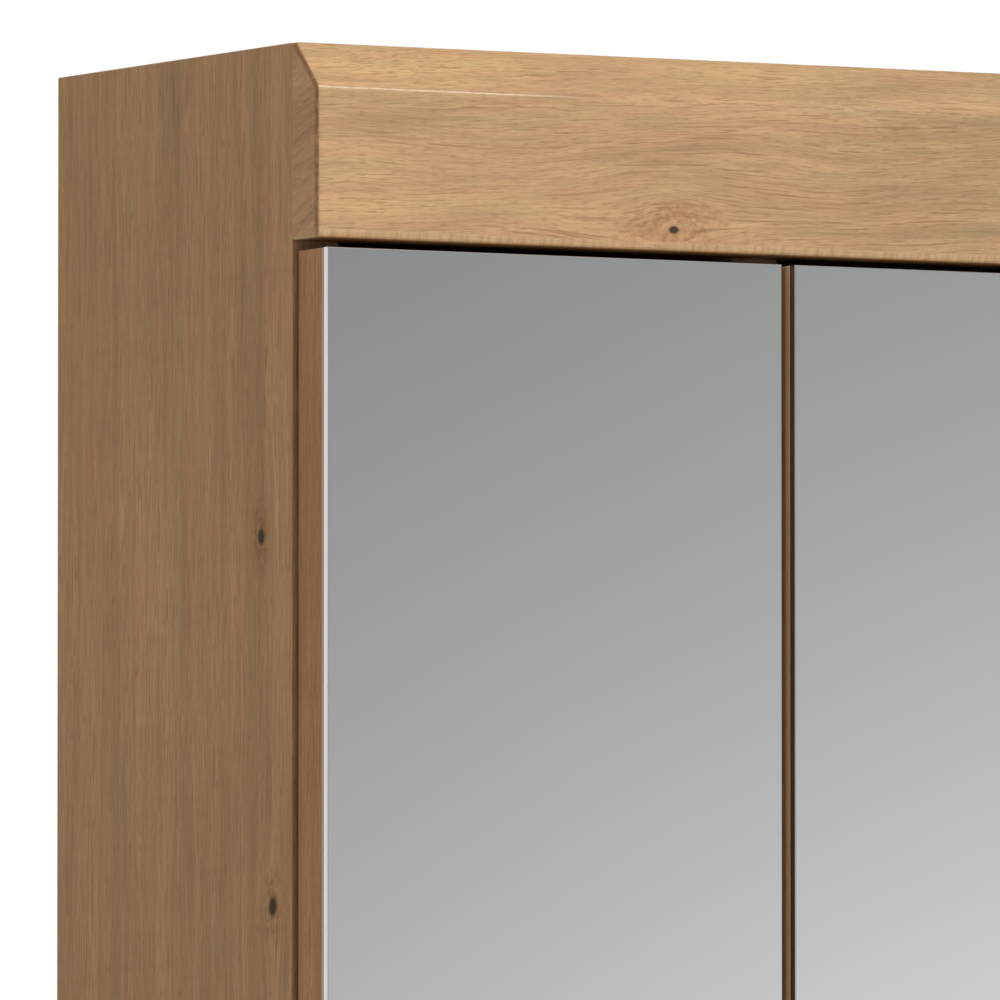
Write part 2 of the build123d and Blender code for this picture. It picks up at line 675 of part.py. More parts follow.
def hinge_arm(panel_x):
    """A channel-shaped arm: straight behind, cranked forward to the two pivots at its nose."""
    heel = panel_x + plate_thickness + 1.0
    heel_top = panel_x + plate_thickness + boss_height + boss_play + web
    with BuildPart() as arm:
        with BuildSketch(Plane.XY.offset(-cheek_high)):
            with BuildLine():
                Polyline(
                    (heel, arm_rear), (heel_top, arm_rear), (heel_top, 44.0),
                    (37.2, 24.0), (37.2, 5.0), (34.9, -5.5), (30.1, -5.5), (29.4, 0.0),
                    (24.0, 6.0), (heel, 14.0), close=True,
                )
            make_face()
            with Locations(arm_pivot_inner):
                Circle(arm_nose_radius)
        extrude(amount=2 * cheek_high)
        # the channel is open towards the panel and at the nose
        with BuildSketch(Plane.XY.offset(-cheek_low)):
            with BuildLine():
                Polyline(
                    (heel - 1.0, arm_rear + 1.0), (heel_top - web, arm_rear + 1.0),
                    (heel_top - web, 43.5), (37.2 - web, 23.5), (37.2 - web, 4.0),
                    (40.0, 4.0), (40.0, -12.0), (heel - 1.0, -12.0), close=True,
                )
            make_face()
        extrude(amount=2 * cheek_low, mode=Mode.SUBTRACT)
        with BuildSketch(Plane.XY.offset(cheek_low)):
            with Locations(arm_pivot_outer):
                Circle(pin_radius)
        extrude(amount=cheek_high - cheek_low, mode=Mode.SUBTRACT)
        with BuildSketch(Plane.XY.offset(-cheek_high)):
            with Locations(arm_pivot_inner):
                Circle(pin_radius)
        extrude(amount=cheek_high - cheek_low, mode=Mode.SUBTRACT)
        with BuildSketch(side_plane(heel_top - web, 1)):
            with Locations(arm_screws):
                Circle(arm_screw_radius + boss_play)
        extrude(amount=web, mode=Mode.SUBTRACT)
    return arm.part


def hinge_plate(panel_x):
    """The plate screwed to the panel: two wings with screw holes and a raised boss between them."""
    screw_y = door_gap_behind + plate_screw_setback
    with BuildPart() as plate:
        with BuildSketch(side_plane(panel_x, 1)):
            with Locations((screw_y, 0)):
                SlotOverall(2 * plate_screw_half_spacing + wing_overhang, wing_width, rotation=90)
            with Locations(((arm_rear + screw_y) / 2 - 4.0, 0)):
                Rectangle(arm_rear - screw_y + 8.0, 2 * cheek_high)
        extrude(amount=plate_thickness)
        with BuildSketch(side_plane(panel_x + plate_thickness, 1)):
            with Locations(((arm_rear + screw_y) / 2 - 1.0, 0)):
                Rectangle(arm_rear - screw_y - 2.0, 2 * cheek_low - 0.6)
        extrude(amount=boss_height)
        with BuildSketch(side_plane(panel_x, 1)):
            with Locations([(screw_y, side * plate_screw_half_spacing) for side in (-1, 1)]):
                Circle(plate_screw_radius)
        extrude(amount=plate_thickness, mode=Mode.SUBTRACT)
        with BuildSketch(side_plane(panel_x + plate_thickness, 1)):
            with Locations(arm_screws):
                Circle(arm_screw_radius)
        extrude(amount=boss_height, mode=Mode.SUBTRACT)
    return plate.part


def plate_screw_pair(panel_x):
    """The two flat-headed screws that hold a hinge plate, with the heads on its wings."""
    screw_y = door_gap_behind + plate_screw_setback
    with BuildPart() as screws:
        head_plane = side_plane(panel_x + plate_thickness, 1)
        centres = [(screw_y, side * plate_screw_half_spacing) for side in (-1, 1)]
        with BuildSketch(head_plane):
            with Locations(centres):
                Circle(plate_screw_head_radius)
        extrude(amount=plate_screw_head_height)
        with BuildSketch(head_plane.offset(plate_screw_head_height - recess_depth)):
            with Locations(centres):
                cross_recess(plate_recess_length, recess_width)
        extrude(amount=recess_depth, mode=Mode.SUBTRACT)
        shank_bite = plate_screw_length - plate_screw_end_gap
        with BuildSketch(side_plane(panel_x - shank_bite, 1)):
            with Locations(centres):
                Circle(plate_screw_radius)
        extrude(amount=shank_bite + plate_thickness)
    return screws.part


def adjusting_screw_pair(panel_x):
    """The arm's locking and side-adjusting screws, standing in the plate's boss."""
    seat_x = panel_x + plate_thickness + boss_height + boss_play + web
    with BuildPart() as screws:
        with BuildSketch(side_plane(panel_x + plate_thickness, 1)):
            with Locations(arm_screws):
                Circle(arm_screw_radius)
        extrude(amount=boss_height + boss_play + web)
        with BuildSketch(side_plane(seat_x, 1)):
            with Locations(arm_screws):
                Circle(arm_screw_head_radius)
        extrude(amount=arm_screw_head_height)
        with BuildSketch(side_plane(seat_x + arm_screw_head_height - recess_depth, 1)):
            with Locations(arm_screws):
                cross_recess(arm_recess_length, recess_width)
        extrude(amount=recess_depth, mode=Mode.SUBTRACT)
    return screws.part


with BuildPart() as cup_screw_pair:
    head_top = cup_plane.offset(-flange_thickness - cup_screw_head_height)
    with BuildSketch(head_top):
        with Locations(cup_screw_places):
            Circle(cup_screw_head_radius)
    extrude(amount=cup_screw_head_height)
    with BuildSketch(head_top):
        with Locations(cup_screw_places):
            cross_recess(cup_recess_length, recess_width)
    extrude(amount=recess_depth, mode=Mode.SUBTRACT)
    with BuildSketch(cup_plane.offset(-flange_thickness)):
        with Locations(cup_screw_places):
            Circle(cup_screw_radius)
    extrude(amount=flange_thickness + cup_screw_length)


def at_hinges(piece, hinge_edge, mirrored):
    """Copies of a hinge piece at both hinge heights of a door whose hinge-side edge is at hinge_edge."""
    with BuildPart() as group:
        for z in hinge_heights:
            copy = piece.moved(Location((-abs(hinge_edge), door_back_y, z)))
            if mirrored:
                copy = copy.mirror(Plane.YZ)
            add(copy)
    return group.part


# ---------------------------------------------------------------- doors
doors = {
    "left": (-side_door_edge, -side_door_edge + side_door_width, -side_door_edge, panel_cover_full),
    "centre": (-centre_door_edge, centre_door_edge, -centre_door_edge, panel_cover_half),
    "right": (side_door_edge - side_door_width, side_door_edge, side_door_edge, panel_cover_full),
}
hinge_arms = []
arm_pins = []
hinge_plates = []
plate_screws = []
adjusting_screws = []

for door, (x_low, x_high, hinge_edge, panel_x) in doors.items():
    mirrored = hinge_edge > 0
    toward_middle = -1 if mirrored else 1
    cup_x = hinge_edge + toward_middle * cup_centre
    screw_x = cup_x + toward_middle * cup_screw_offset
    with BuildPart() as door_board:
        plate_at(x_low, x_high, door_front_y, door_back_y, door_low, door_high)
        fillet(door_board.edges(), radius=board_edge_radius)
        with BuildSketch(Plane.XZ.offset(-door_back_y)):
            with Locations([(cup_x, z) for z in hinge_heights]):
                Circle(cup_radius)
        extrude(amount=cup_depth, mode=Mode.SUBTRACT)
        with BuildSketch(Plane.XZ.offset(-door_back_y)):
            with Locations([(screw_x, z + side) for z in hinge_heights
                            for side in (-cup_screw_half_spacing, cup_screw_half_spacing)]):
                Circle(cup_screw_radius)
        extrude(amount=cup_screw_length, mode=Mode.SUBTRACT)
    save(door_board.part, "door_board_" + door)

    with BuildPart() as mirror_pane:
        plate_at(x_low, x_high, mirror_front_y, door_front_y, door_low, door_high)
        chamfer(mirror_pane.faces().sort_by(Axis.Y)[0].edges(), length=mirror_bevel)
    save(mirror_pane.part, "mirror_" + door)

    save(at_hinges(hinge_cup.part, hinge_edge, mirrored), "hinge_cups_" + door)
    save(at_hinges(cup_pin_pair.part, hinge_edge, mirrored), "cup_pins_" + door)
    save(at_hinges(cup_screw_pair.part, hinge_edge, mirrored), "cup_screws_" + door)
    save(at_hinges(outer_link, hinge_edge, mirrored), "outer_links_" + door)
    save(at_hinges(inner_link, hinge_edge, mirrored), "inner_links_" + door)
    hinge_arms.append(at_hinges(hinge_arm(panel_x), hinge_edge, mirrored))
    arm_pins.append(at_hinges(arm_pin_pair.part, hinge_edge, mirrored))
    hinge_plates.append(at_hinges(hinge_plate(panel_x), hinge_edge, mirrored))
    plate_screws.append(at_hinges(plate_screw_pair(panel_x), hinge_edge, mirrored))
    adjusting_screws.append(at_hinges(adjusting_screw_pair(panel_x), hinge_edge, mirrored))

carcass_groups = {
    "hinge_arms": hinge_arms,
    "arm_pins": arm_pins,
    "hinge_plates": hinge_plates,
    "plate_screws": plate_screws,
    "adjusting_screws": adjusting_screws,
}
for group_name, pieces in carcass_groups.items():
    with BuildPart() as group:
        for piece in pieces:
            add(piece)
    save(group.part, group_name)
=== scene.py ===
"""Looks of a three-door mirror cabinet in oak decor: materials, light and camera around the CAD frame."""

import math

import bpy
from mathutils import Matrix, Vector


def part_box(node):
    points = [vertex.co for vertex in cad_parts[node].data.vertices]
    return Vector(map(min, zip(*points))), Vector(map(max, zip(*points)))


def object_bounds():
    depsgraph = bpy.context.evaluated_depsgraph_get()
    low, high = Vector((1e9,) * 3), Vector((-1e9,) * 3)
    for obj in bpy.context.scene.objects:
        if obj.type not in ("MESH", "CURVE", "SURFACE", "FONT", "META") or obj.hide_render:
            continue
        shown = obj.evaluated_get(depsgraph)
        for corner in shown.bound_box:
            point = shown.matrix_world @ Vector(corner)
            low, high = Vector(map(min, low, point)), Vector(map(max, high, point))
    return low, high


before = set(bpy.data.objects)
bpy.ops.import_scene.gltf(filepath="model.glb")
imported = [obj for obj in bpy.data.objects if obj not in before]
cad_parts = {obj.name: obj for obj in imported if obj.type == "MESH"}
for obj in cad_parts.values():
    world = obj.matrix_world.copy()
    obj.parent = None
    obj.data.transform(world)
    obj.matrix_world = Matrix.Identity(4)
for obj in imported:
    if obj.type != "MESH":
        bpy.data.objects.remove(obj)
cad_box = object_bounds()
low, high = cad_box
MM = 1000.0  # millimetres in a metre

# ---------------------------------------------------------------- camera
# The view is a long lens far to the left of the cabinet, a little below its middle and looking up at the cornice.
CAMERA_LENS = 720.0
CAMERA_PLACE = (-3.18034, -5.35363, 0.23695)
CAMERA_TILT = 3.3796  # degrees upwards
CAMERA_TURN = -28.964  # degrees to the right of straight at the wall

camera_data = bpy.data.cameras.new("camera")
camera_data.lens = CAMERA_LENS
camera_data.sensor_width = 36.0
camera_data.clip_end = 60.0
camera = bpy.data.objects.new("camera", camera_data)
camera.location = CAMERA_PLACE
camera.rotation_euler = (math.radians(90.0 + CAMERA_TILT), 0.0, math.radians(CAMERA_TURN))
bpy.context.scene.collection.objects.link(camera)
bpy.context.scene.camera = camera
bpy.context.scene.view_settings.view_transform = "Standard"


# ---------------------------------------------------------------- shader helper
class Shader:
    """One node material. Each helper adds a node and returns its output socket."""

    def __init__(self, name):
        self.material = bpy.data.materials.new(name)
        self.material.use_nodes = True
        self.tree = self.material.node_tree
        self.surface = self.tree.nodes["Principled BSDF"]

    def feed(self, socket, value):
        if isinstance(value, bpy.types.NodeSocket):
            self.tree.links.new(value, socket)
        else:
            socket.default_value = value

    def add(self, kind, inputs, output=0, **settings):
        node = self.tree.nodes.new(kind)
        for key, value in settings.items():
            setattr(node, key, value)
        for key, value in inputs.items():
            self.feed(node.inputs[key], value)
        return node.outputs[output]

    def math(self, operation, first, second=0.0, third=0.0, clamp=False):
        inputs = {0: first, 1: second, 2: third}
        return self.add("ShaderNodeMath", inputs, operation=operation, use_clamp=clamp)

    def vector(self, x, y, z):
        return self.add("ShaderNodeCombineXYZ", {0: x, 1: y, 2: z})

    def split(self, vector):
        node = self.tree.nodes.new("ShaderNodeSeparateXYZ")
        self.feed(node.inputs[0], vector)
        return node.outputs[0], node.outputs[1], node.outputs[2]

    def noise(self, vector, detail=2.0, roughness=0.5, scale=1.0):
        inputs = {"Vector": vector, "Scale": scale, "Detail": detail, "Roughness": roughness}
        return self.add("ShaderNodeTexNoise", inputs)

    def remap(self, value, start, end, to_start=0.0, to_end=1.0, smooth=True):
        inputs = {"Value": value, "From Min": start, "From Max": end, "To Min": to_start, "To Max": to_end}
        kind = "SMOOTHSTEP" if smooth else "LINEAR"
        return self.add("ShaderNodeMapRange", inputs, interpolation_type=kind)

    def mix(self, factor, first, second, blend="MIX"):
        node = self.tree.nodes.new("ShaderNodeMix")
        node.data_type = "RGBA"
        node.blend_type = blend
        node.clamp_result = False
        self.feed(node.inputs["Factor"], factor)
        self.feed(node.inputs[6], first)
        self.feed(node.inputs[7], second)
        return node.outputs[2]

    def mix_value(self, factor, first, second):
        return self.math("MULTIPLY_ADD", factor, self.math("SUBTRACT", second, first), first)

    def place(self, centre=(0.0, 0.0, 0.0)):
        """Object coordinates in millimetres, measured from a point of the CAD frame."""
        here = self.add("ShaderNodeTexCoord", {}, output="Object")
        moved = self.add("ShaderNodeVectorMath", {0: here, 1: centre}, operation="SUBTRACT")
        scaled = self.add("ShaderNodeVectorMath", {0: moved, "Scale": MM}, operation="SCALE")
        return self.split(scaled)

    def facing(self):
        """How far the surface faces each of the object's own axes, from -1 to 1."""
        return self.split(self.add("ShaderNodeTexCoord", {}, output="Normal"))

    def bump(self, height, strength, distance):
        inputs = {"Height": height, "Strength": strength, "Distance": distance / MM}
        self.feed(self.surface.inputs["Normal"], self.add("ShaderNodeBump", inputs))


def colour(red, green, blue):
    return (red, green, blue, 1.0)


# ---------------------------------------------------------------- oak decor foil
AXES = {"x": 0, "y": 1, "z": 2}
OAK_BASE = colour(0.600, 0.376, 0.194)
OAK_STROKE = colour(0.300, 0.168, 0.078)
OAK_PALE = colour(0.680, 0.450, 0.255)
OAK_OLIVE = colour(0.975, 1.010, 0.965)
OAK_RED = colour(1.025, 0.968, 0.975)
KNOT_CORE = colour(0.062, 0.040, 0.028)
KNOT_HALO = colour(0.80, 0.70, 0.64)
KNOT_STRETCH = 2.0  # a knot's ring of bent grain is this much longer than wide

# How the print runs: the length and width in millimetres of each kind of stroke, how far the grain wanders and
# how much each kind of stroke changes the tone.
UPRIGHT_PRINT = {"wander": (85.0, 13.0), "wander_by": 5.0, "broad": (150.0, 17.0), "hue": (70.0, 8.0),
                 "band": (70.0, 3.2), "streak": (30.0, 1.25), "line": (20.0, 0.62), "pore": (4.5, 0.40),
                 "slope": 0.0, "weights": {"broad": 0.50, "band": 0.66, "streak": 0.52, "line": 0.70}}
FRONT_PRINT = {"wander": (75.0, 26.0), "wander_by": 10.0, "broad": (70.0, 13.0), "hue": (30.0, 5.0),
               "band": (42.0, 2.8), "streak": (27.0, 1.1), "line": (19.0, 0.60), "pore": (3.5, 0.40),
               "slope": -0.035, "weights": {"broad": 0.55, "band": 0.50, "streak": 0.50, "line": 0.66}}
FACE_TONE = colour(1.0, 1.0, 1.0)
SIDE_TONE = colour(1.05, 0.970, 0.93)
EDGE_TONE = colour(0.94, 0.82, 0.76)
# Front edges of the carcass: partly the banding's own tone, partly painted shade of the recess behind the doors.
FRONT_BANDING_AND_SHADE = colour(0.68, 0.74, 0.77)
STREAK_SHARE = 0.50  # how dark each kind of stroke gets at most
LINE_SHARE = 0.66
PORE_SHARE = 0.30
END_SLANT = 0.30  # how far the print leans on a board's ends
WORN_WIDTH = 0.7  # millimetres of rubbed foil along an edge
WORN_SHARE = 0.35
OAK_SPECULAR = 0.10
OAK_BUMP_STRENGTH = 0.22
OAK_BUMP_DEPTH = 0.06


class Knot:
    """A pin knot, placed in millimetres from the middle of its board: along and across the grain."""

    def __init__(self, along, across, core_long, core_wide, halo=7.0, bend=5.0):
        self.along = along
        self.across = across
        self.core_long = core_long
        self.core_wide = core_wide
        self.halo = halo
        self.bend = bend


def bend_round_knot(shader, along, across, slope, knot):
    """Leads the grain round a knot. Returns the bent across value and the knot's core and halo masks."""
    off_along = shader.math("SUBTRACT", along, knot.along)
    off_across = shader.math("SUBTRACT", across, knot.across + slope * knot.along)
    short = shader.math("DIVIDE", off_along, KNOT_STRETCH)
    short_squared = shader.math("MULTIPLY", short, short)
    reach = shader.math("MULTIPLY_ADD", off_across, off_across, short_squared)
    softened = shader.math("ADD", reach, knot.bend ** 2)
    push = shader.math("DIVIDE", -(knot.bend ** 2), softened)
    bent = shader.math("MULTIPLY_ADD", off_across, push, across)
    long_part = shader.math("DIVIDE", off_along, knot.core_long)
    wide_part = shader.math("DIVIDE", off_across, knot.core_wide)
    long_squared = shader.math("MULTIPLY", long_part, long_part)
    core_reach = shader.math("SQRT", shader.math("MULTIPLY_ADD", wide_part, wide_part, long_squared))
    core = shader.remap(core_reach, 0.55, 1.25, 1.0, 0.0)
    halo = shader.remap(reach, 0.0, knot.halo ** 2, 1.0, 0.0)
    return bent, core, halo


def oak(shader, run, across_axis, depth_axis, centre, seed, print_run, knots=()):
    """Printed oak grain along one axis of a board. Returns its colour, its height and its roughness."""
    place = shader.place(centre)
    facing = shader.facing()
    along = place[AXES[run]]
    across = place[AXES[across_axis]]
    depth = place[AXES[depth_axis]]
    on_end = shader.remap(shader.math("ABSOLUTE", facing[AXES[run]]), 0.6, 0.8)
    slope = print_run["slope"]
    slanted = shader.math("MULTIPLY_ADD", along, slope, across)
    core = 0.0
    halo = 0.0
    for knot in knots:
        slanted, one_core, one_halo = bend_round_knot(shader, along, slanted, slope, knot)
        core = shader.math("MAXIMUM", core, one_core)
        halo = shader.math("MAXIMUM", halo, one_halo)

    # On the board's ends the print runs the other way.
    end_slant = shader.math("MULTIPLY_ADD", depth, END_SLANT, across)
    grain_along = shader.mix_value(on_end, along, depth)
    grain_across = shader.mix_value(on_end, slanted, end_slant)
    grain_depth = shader.mix_value(on_end, depth, along)

    def strokes(kind, detail, roughness, shift, source=grain_across):
        length, width = print_run[kind]
        vector = shader.vector(
            shader.math("MULTIPLY_ADD", grain_along, 1.0 / length, seed + shift),
            shader.math("DIVIDE", source, width),
            shader.math("DIVIDE", grain_depth, width))
        return shader.noise(vector, detail, roughness)

    wander = shader.math("SUBTRACT", strokes("wander", 1.0, 0.4, 7.3), 0.5)
    warped = shader.math("MULTIPLY_ADD", wander, print_run["wander_by"], grain_across)
    broad = strokes("broad", 2.0, 0.5, 3.1)
    hue = strokes("hue", 3.0, 0.55, 11.7)
    band = strokes("band", 2.0, 0.5, 17.9, warped)
    streak = strokes("streak", 2.0, 0.55, 23.3, warped)
    line = strokes("line", 2.0, 0.6, 31.1, warped)
    pore = strokes("pore", 0.0, 0.5, 41.9, warped)

    level = 1.0
    for kind, layer in (("broad", broad), ("band", band), ("streak", streak), ("line", line)):
        weight = print_run["weights"][kind]
        level = shader.math("MULTIPLY_ADD", shader.math("SUBTRACT", layer, 0.5), weight, level)
    base = shader.add("ShaderNodeVectorMath", {0: OAK_BASE[:3], "Scale": level}, operation="SCALE")
    tint = shader.mix(shader.remap(hue, 0.34, 0.66), OAK_OLIVE, OAK_RED)
    base = shader.mix(1.0, base, tint, "MULTIPLY")
    dark_streaks = shader.math("MULTIPLY", shader.remap(streak, 0.54, 0.70), STREAK_SHARE)
    gathered = shader.remap(band, 0.38, 0.62, 0.5, 1.0)
    gathered = shader.math("MULTIPLY", gathered, shader.math("MULTIPLY_ADD", on_end, -0.5, 1.0))
    dark_lines = shader.math("MULTIPLY", shader.remap(line, 0.52, 0.64), LINE_SHARE)
    base = shader.mix(shader.math("MULTIPLY", dark_streaks, gathered), base, OAK_STROKE)
    base = shader.mix(shader.math("MULTIPLY", dark_lines, gathered), base, OAK_STROKE)
    pores = shader.remap(pore, 0.56, 0.70)
    base = shader.mix(shader.math("MULTIPLY", pores, PORE_SHARE), base, OAK_STROKE)
    if knots:
        mottle = shader.remap(shader.noise(shader.vector(*place), 3.0, 0.65, 0.42), 0.40, 0.62)
        reddened = shader.math("MULTIPLY", halo, shader.math("MULTIPLY_ADD", mottle, 0.80, 0.20))
        base = shader.mix(reddened, base, KNOT_HALO, "MULTIPLY")
        base = shader.mix(core, base, KNOT_CORE)
    height = shader.math("MULTIPLY_ADD", pores, -0.5, shader.math("MULTIPLY", line, -0.5))
    rough = shader.math("MULTIPLY_ADD", streak, 0.16, 0.42)
    return base, height, rough


def edge_distance(shader, centre, half_size):
    """Millimetres to the nearest edge of a board, on whichever face the surface is."""
    place = shader.place(centre)
    facing = shader.facing()
    nearest = 1000.0
    for axis in range(3):
        gap = shader.math("SUBTRACT", half_size[axis] * MM, shader.math("ABSOLUTE", place[axis]))
        own_face = shader.math("MULTIPLY", shader.math("ABSOLUTE", facing[axis]), 50.0)
        nearest = shader.math("MINIMUM", nearest, shader.math("ADD", gap, own_face))
    return nearest


def worn_edges(shader, base, centre, half_size):
    """A slightly rubbed, lighter foil along the board's edges."""
    patchy = shader.noise(shader.vector(*shader.place(centre)), 3.0, 0.6, 0.11)
    reach = shader.math("MULTIPLY", patchy, WORN_WIDTH * 1.6)
    share = shader.math("DIVIDE", edge_distance(shader, centre, half_size), reach)
    near = shader.math("SUBTRACT", 1.0, share, clamp=True)
    return shader.mix(shader.math("MULTIPLY", near, WORN_SHARE), base, OAK_PALE)


def oak_material(node, axes, seed, print_run, tone, knots=(), finish=None):
    """The oak decor of one board, with its own stretch of the print."""
    low_corner, high_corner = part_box(node)
    centre = (low_corner + high_corner) / 2
    shader = Shader("oak_" + node)
    base, height, rough = oak(shader, *axes, centre, seed, print_run, knots)
    base = shader.mix(1.0, base, tone, "MULTIPLY")
    base = worn_edges(shader, base, centre, (high_corner - low_corner) / 2)
    if finish:
        base = finish(shader, base, low_corner, high_corner)
    shader.feed(shader.surface.inputs["Base Color"], base)
    shader.feed(shader.surface.inputs["Roughness"], rough)
    shader.surface.inputs["Specular IOR Level"].default_value = OAK_SPECULAR
    shader.bump(height, OAK_BUMP_STRENGTH, OAK_BUMP_DEPTH)
    return shader.material


INNER_EDGES = 300.0  # door edges nearer than this to the middle look at another door
# Painted shade: door edges in the gaps between doors are duller and darker.
INNER_EDGE_SHADE = colour(0.84, 0.88, 0.90)
# Painted light: a pale strip on the door edges beside the mirror, wider in the gaps between doors.
EDGE_PAINTED_LIGHT = colour(0.94, 0.74, 0.50)
CHAMFER = 14.0  # height of the cornice's sloped upper arris
# Painted highlight along the cornice's lower arris.
ARRIS_HIGHLIGHT = colour(0.86, 0.62, 0.41)
ARRIS_DARK = colour(0.27, 0.16, 0.08)
SEAM = colour(0.26, 0.125, 0.055)
# Painted shade on the cornice's underside.
UNDERSIDE_SHADE = colour(0.20, 0.14, 0.085)
FOOT_DARK = colour(0.46, 0.29, 0.15)
SIDE_LOW_TONE = colour(0.90, 0.895, 0.89)
SIDE_BAND_TONE = colour(0.965, 0.945, 0.93)
SIDE_STRIP_TONE = colour(1.08, 1.06, 1.04)
CORNICE_DULL = colour(0.88, 0.90, 0.91)
CORNICE_END = colour(1.13, 1.06, 1.04)
# Painted light on the cornice's downward-facing rounding at its foot.
FOOT_ROUNDING_LIGHT = colour(1.22, 1.30, 1.36)


def side_bands(shader, base, low_corner, high_corner):
    """The side panel: darker towards the bottom, a print with a browner band behind a smoother, paler strip along
    the front edge, and the carcass front edge's banding with painted shade.
    """
    from_front = shader.place(low_corner)[1]
    lower = shader.remap(shader.place(low_corner)[2], 640.0, 260.0)
    base = shader.mix(lower, base, SIDE_LOW_TONE, "MULTIPLY")
    band = shader.math("MULTIPLY", shader.remap(from_front, 12.0, 18.0), shader.remap(from_front, 38.0, 24.0))
    strip = shader.remap(from_front, 14.0, 9.0)
    base = shader.mix(shader.math("MULTIPLY", band, 0.6), base, SIDE_BAND_TONE, "MULTIPLY")
    base = shader.mix(strip, base, SIDE_STRIP_TONE, "MULTIPLY")
    return front_banding_and_shade(shader, base, low_corner, high_corner)


def front_banding_and_shade(shader, base, low_corner, high_corner):
    """The carcass boards' front edges take a duller, darker tone: partly their banding, partly painted shade of
    the recess behind the doors.
    """
    on_front = shader.remap(shader.facing()[1], -0.6, -0.8)
    return shader.mix(on_front, base, FRONT_BANDING_AND_SHADE, "MULTIPLY")


def door_edges(shader, base, low_corner, high_corner):
    """The door boards' edges: a redder banding, with painted shade towards the back and in the gaps between doors,
    and a painted strip of light beside the mirror.
    """
    from_front = shader.place(low_corner)[1]
    facing = shader.facing()
    on_edge = shader.remap(shader.math("ABSOLUTE", facing[1]), 0.80, 0.60)
    inner = shader.math("LESS_THAN", shader.math("ABSOLUTE", shader.place()[0]), INNER_EDGES)
    # Painted shade darkens the back of each door edge.
    rear_shade = shader.math("MULTIPLY", on_edge, shader.remap(from_front, 12.0, 16.0, 0.0, 0.45))
    # Painted light: a pale strip beside the mirror, wider on the inner edges.
    painted_light_reach = shader.math("MULTIPLY_ADD", inner, 2.6, 1.2)
    pale = shader.remap(shader.math("DIVIDE", from_front, painted_light_reach), 1.0, 0.4, 0.0, 0.8)
    # The inner edges take a duller tone as painted shade of the gap.
    tone = shader.mix(inner, EDGE_TONE, INNER_EDGE_SHADE)
    base = shader.mix(on_edge, base, shader.mix(1.0, base, tone, "MULTIPLY"))
    base = shader.mix(rear_shade, base, OAK_STROKE)
    return shader.mix(shader.math("MULTIPLY", pale, on_edge), base, EDGE_PAINTED_LIGHT)


def cornice_finish(shader, base, low_corner, high_corner):
    """The cornice's painted highlight and dark line along its arris, the seams of its foil at both ends, the
    smeared print at its foot, painted light on the rounding at its foot and painted shade on its underside.
    """
    place = shader.place(high_corner)
    from_foot = shader.place(low_corner)[2]
    facing = shader.facing()
    sideways = shader.math("ABSOLUTE", facing[0])
    on_front = shader.remap(sideways, 0.7, 0.4)
    length = (high_corner.x - low_corner.x) * MM
    from_end = shader.math("PINGPONG", shader.math("ABSOLUTE", place[0]), length / 2)
    broken = shader.noise(shader.vector(shader.math("DIVIDE", place[0], 3.2), 0.0, 0.0), 3.0)
    # A thin painted highlight along the arris below the slope, broken and fading out away from each end; further
    # in it becomes a faint dark line.
    off = shader.math("ABSOLUTE", shader.math("ADD", place[2], CHAMFER + 0.3))
    thin = shader.math("MULTIPLY", shader.remap(off, 0.06, 0.36, 1.0, 0.0), on_front)
    highlight = shader.remap(from_end, 60.0, 105.0, 0.85, 0.0)
    highlight = shader.math("MULTIPLY", highlight, shader.remap(broken, 0.30, 0.54, 0.4, 1.0))
    dark = shader.remap(from_end, 90.0, 150.0, 0.0, 0.42)
    dark = shader.math("MULTIPLY", dark, shader.remap(broken, 0.38, 0.60))
    base = shader.mix(shader.math("MULTIPLY", thin, highlight), base, ARRIS_HIGHLIGHT)
    base = shader.mix(shader.math("MULTIPLY", thin, dark), base, ARRIS_DARK)

    # The end banding's seam, along the rounded front edge of each end.
    from_face = shader.place(low_corner)[1]
    drop = shader.math("SUBTRACT", from_face, place[2])
    from_slope = shader.math("MULTIPLY", shader.math("SUBTRACT", drop, CHAMFER), math.sqrt(0.5))
    inside = shader.math("MINIMUM", from_face, from_slope)
    seam = shader.math("MULTIPLY", shader.remap(sideways, 0.35, 0.70), shader.remap(inside, 2.5, 0.5))
    uneven = shader.noise(shader.vector(*place), 2.0, 0.6, 0.5)
    seam = shader.math("MULTIPLY", seam, shader.remap(uneven, 0.3, 0.6, 0.35, 0.85))
    base = shader.mix(seam, base, SEAM)

    # The print is a little duller towards the middle of the length, and warmer on the ends.
    drift = shader.noise(shader.vector(shader.math("DIVIDE", place[0], 90.0), 0.0,
                                       shader.math("DIVIDE", place[2], 30.0)), 2.0)
    inward = shader.math("MULTIPLY_ADD", drift, 120.0, from_end)
    dull = shader.remap(inward, 110.0, 330.0, 0.0, 1.0)
    base = shader.mix(dull, base, CORNICE_DULL, "MULTIPLY")
    base = shader.mix(shader.remap(sideways, 0.9, 0.97), base, CORNICE_END, "MULTIPLY")

    # At the foot the print is drawn down over the rounding.
    smear = shader.noise(shader.vector(shader.math("DIVIDE", place[0], 2.4), 0.0, 0.0), 3.0, 0.6)
    ragged = shader.math("MULTIPLY_ADD", smear, 3.2, 1.2)
    foot = shader.math("MULTIPLY", shader.math("LESS_THAN", from_foot, ragged), on_front)
    streaked = shader.mix(shader.remap(smear, 0.35, 0.68), OAK_PALE, FOOT_DARK)
    base = shader.mix(shader.math("MULTIPLY", foot, 0.60), base, streaked)
    # Painted light brightens the downward rounding at the foot.
    downward = shader.math("MULTIPLY", facing[2], -1.0)
    rounding = shader.math("MULTIPLY", shader.remap(downward, 0.1, 0.5), shader.remap(downward, 0.9, 0.75))
    base = shader.mix(rounding, base, FOOT_ROUNDING_LIGHT, "MULTIPLY")
    # Painted shade darkens the underside.
    return shader.mix(shader.remap(downward, 0.80, 0.92, 0.0, 0.85), base, UNDERSIDE_SHADE)


